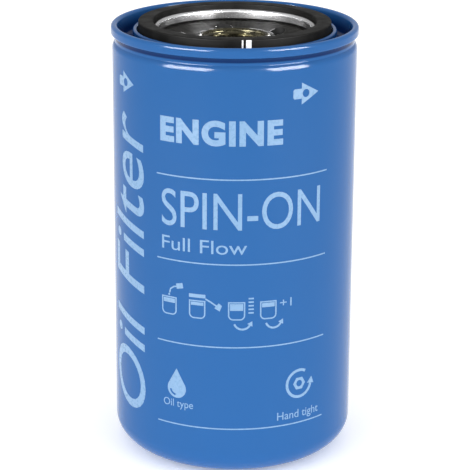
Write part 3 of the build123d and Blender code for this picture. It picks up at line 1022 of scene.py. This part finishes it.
def draw_pictograms(bm):
    """Generic fitting steps: fill, oil the gasket, turn on by hand, and a further turn."""
    foot = 65.4
    first, second, third, fourth = (across(a) for a in (-31.0, -16.8, 1.6, 16.4))
    canister(bm, (first, foot), 2.4)
    stroke(bm, [(0.2, 8.6), (0.6, 10.2), (2.0, 11.3), (3.6, 11.6)], 0.55, at=(first, foot))
    fill(bm, [(3.3, 10.6), (6.0, 11.2), (5.6, 13.2), (3.0, 12.6)], at=(first, foot))
    fill(bm, arc((0, 8.0), 0.42, 0, 2 * pi - 0.5, 12), at=(first, foot))
    canister(bm, (second, foot), 2.0)
    fill(bm, rectangle(-3.2, 8.2, 3.2, 9.6), at=(second, foot))
    stroke(bm, [(3.2, 8.0), (5.2, 6.9), (7.4, 5.4)], 0.6, at=(second, foot))
    fill(bm, [(6.6, 4.6), (8.2, 6.6), (9.4, 5.6), (8.6, 3.4)], at=(second, foot))
    canister(bm, (third, foot), 3.4)
    for k in range(5):
        fill(bm, rectangle(4.4, 2.6 + 1.4 * k, 6.4, 3.2 + 1.4 * k), at=(third, foot))
    turning_arrow(bm, (third + 2.2, foot - 0.4), 3.2, 200, 330, 0.75)
    canister(bm, (fourth, foot), 2.4)
    turning_arrow(bm, (fourth + 2.2, foot - 0.4), 3.2, 200, 330, 0.75)
    words(bm, "+1", (fourth + 4.6, foot + 4.2, across(28.0), foot + 7.4))


def draw_marks(bm):
    """A plain oil drop and a plain nut with a turning arrow, each over a plain word."""
    drop = (across(-27.2), 36.2)
    size = 3.9
    shape = arc((0, 0), size, radians(-215), radians(35), 30) + [(0, size * 2.05)]
    hollow = arc((0, -0.1), size - 0.9, radians(-170), radians(-100), 12)
    rim = arc((0, -0.1), size - 1.7, radians(-100), radians(-170), 12)
    fill(bm, shape, hollow + rim, at=drop)
    words(bm, "Oil type", (across(-34.3), 27.8, across(-18.8), 31.7))
    nut = (across(32.9), 37.6)
    turning_arrow(bm, nut, 5.4, 60, 350, 1.1)
    hexagon = [(2.7 * cos(radians(60 * k)), 2.7 * sin(radians(60 * k))) for k in range(6)]
    hole = arc((0, 0), 1.3, 2 * pi, 2 * pi / 20, 19)
    fill(bm, hexagon, hole, at=nut)
    words(bm, "Hand tight", (across(21.4), 22.9, across(44.7), 27.1))


def draw_direction_arrow(bm):
    """A triangle with a round hole, and a short tail behind it."""
    tip, base, tail = across(7.0), across(-2.3), across(-6.7)
    half, tail_half = 4.05, 1.85
    outline = [
        (tip, 0),
        (base, half),
        (base, tail_half),
        (tail + 0.5, tail_half),
        (tail, tail_half - 0.5),
        (tail, 0.5 - tail_half),
        (tail + 0.5, -tail_half),
        (base, -tail_half),
        (base, -half),
    ]
    hole = arc((base + 1.85, 0), 1.5, 0, 2 * pi * 27 / 28, 27)
    fill(bm, outline, hole, at=(0, ARROW_HEIGHT))


def make_print():
    """The printed panel is on the can twice, front and back, and four arrows go round its top."""
    for side, turn in (("front", 0.0), ("back", 180.0)):
        for what, draw in (
            ("lines", draw_lines),
            ("words", draw_words),
            ("pictograms", draw_pictograms),
            ("marks", draw_marks),
        ):
            bm = bmesh.new()
            draw(bm)
            wrapped(f"print_{what}_{side}", bm, turn)
    for i, azimuth in enumerate(ARROW_AZIMUTHS):
        bm = bmesh.new()
        draw_direction_arrow(bm)
        wrapped(f"print_arrow_{i + 1}", bm, azimuth)


# ---------------------------------------------------------------------------
# Inner pieces keep their CAD shapes.
# ---------------------------------------------------------------------------
INNER = {
    "seam_sealant": COMPOUND,
    "inner_seal": VALVE_RUBBER,
    "upper_end_cap": CAP_ZINC,
    "lower_end_cap": CAP_ZINC,
    "upper_potting": ADHESIVE,
    "lower_potting": ADHESIVE,
    "centre_tube": TUBE_STEEL,
    "pleated_media": PAPER,
    "media_clip": TUBE_STEEL,
    "bypass_disc": VALVE_RUBBER,
    "bypass_poppet": VALVE_STEEL,
    "bypass_cage": VALVE_STEEL,
}


def paint_inner():
    for node, material in INNER.items():
        mesh = nodes[node].data
        mesh.materials.clear()
        mesh.materials.append(material)


# ---------------------------------------------------------------------------
# Room: a white floor, a sky that is brighter in front of the filter than behind it, and two soft
# boxes low at the sides, which show only as reflections.
# ---------------------------------------------------------------------------
SKY_FRONT = 1.3
SKY_BACK = 0.65
FLOOR_SIZE = 12
FLOOR_GLOW = 0.25


def add_softbox(name, azimuth, elevation, distance, width, height, power):
    """A soft box that shows in gloss and leaves the even diffuse light alone."""
    lamp = bpy.data.lights.new(name, "AREA")
    lamp.shape = "RECTANGLE"
    lamp.size = width
    lamp.size_y = height
    lamp.energy = power
    holder = bpy.data.objects.new(name, lamp)
    holder.visible_diffuse = False
    bpy.context.scene.collection.objects.link(holder)
    a, e = radians(azimuth), radians(elevation)
    aim = Vector((0, 0, SEAM_TOP * MM))
    back = Vector((sin(a) * cos(e), -cos(a) * cos(e), sin(e)))
    holder.location = aim + back * distance
    holder.rotation_euler = back.to_track_quat("Z", "Y").to_euler()


def add_sky():
    world = bpy.data.worlds.new("studio")
    bpy.context.scene.world = world
    world.use_nodes = True
    tree = world.node_tree
    sky = tree.nodes["Background"]
    sky.inputs["Color"].default_value = (1, 1, 1, 1)
    split = tree.nodes.new("ShaderNodeSeparateXYZ")
    tree.links.new(tree.nodes.new("ShaderNodeTexCoord").outputs["Generated"], split.inputs["Vector"])
    fade = tree.nodes.new("ShaderNodeMapRange")
    for name, value in (("From Min", -1), ("From Max", 1), ("To Min", SKY_FRONT), ("To Max", SKY_BACK)):
        fade.inputs[name].default_value = value
    tree.links.new(split.outputs["Y"], fade.inputs["Value"])
    tree.links.new(fade.outputs["Result"], sky.inputs["Strength"])


def add_floor():
    bpy.ops.mesh.primitive_plane_add(size=FLOOR_SIZE)
    ground = bpy.context.active_object
    ground.name = "studio_floor"
    glow = {"Emission_Color": (1, 1, 1, 1), "Emission_Strength": FLOOR_GLOW}
    white = Material("floor_white", (0.93,) * 3, 0.9, **glow)
    white.colored(white.spread(white.noise(3, 2), 0, 1), (0.925,) * 3, (0.935,) * 3)
    ground.data.materials.append(white.data)


def add_room():
    add_sky()
    add_floor()
    add_softbox("softbox_left", azimuth=-45, elevation=20, distance=0.9, width=0.7, height=0.56, power=76)
    add_softbox("softbox_right", azimuth=52, elevation=20, distance=0.9, width=0.6, height=0.56, power=68)
    bpy.context.scene.view_settings.view_transform = "Standard"


add_camera()
make_can()
make_lid()
make_gasket()
make_tabs()
make_plate()
make_diaphragm()
make_load_coil()
make_bypass_coil()
make_print()
paint_inner()
add_room()
